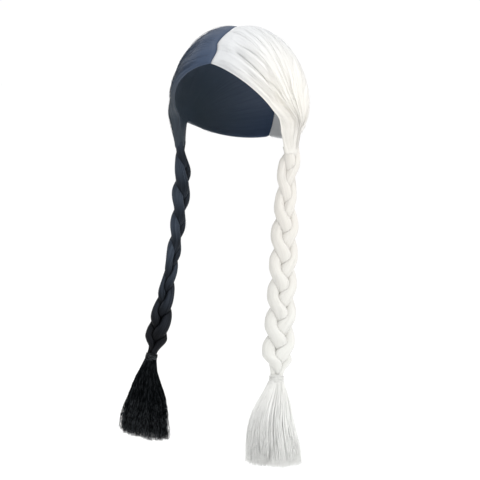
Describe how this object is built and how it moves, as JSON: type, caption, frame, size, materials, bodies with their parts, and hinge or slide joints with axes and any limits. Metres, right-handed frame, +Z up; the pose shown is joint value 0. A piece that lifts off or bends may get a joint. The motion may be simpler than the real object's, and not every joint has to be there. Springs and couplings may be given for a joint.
{
  "type": "pigtail wig",
  "caption": "Wig with a middle parting, a dark and a white half, and a gathered three-strand plait over each ear, tied off above a loose tuft.",
  "frame": {"origin": "inside top of the crown, where the top of the head sits", "axes": "+Z up, -Y towards the face opening, +X towards the white half, which is on the wearer's left"},
  "size_m": [0.2461, 0.216, 0.5229],
  "materials": {
    "hair_dark": "soft synthetic hair, blue-black, satin sheen along the strands",
    "hair_white": "soft synthetic hair, near white, satin sheen along the strands",
    "tie_dark": "wound elastic thread, matt",
    "tie_white": "wound elastic thread, matt"
  },
  "bodies": {
    "root": {"hair_dark": "hair_dark", "strand_dark_1": "hair_dark", "strand_dark_2": "hair_dark", "strand_dark_3": "hair_dark", "tie_dark": "tie_dark", "tuft_dark": "hair_dark", "hair_white": "hair_white", "strand_white_1": "hair_white", "strand_white_2": "hair_white", "strand_white_3": "hair_white", "tie_white": "tie_white", "tuft_white": "hair_white"}
  },
  "joints": []
}
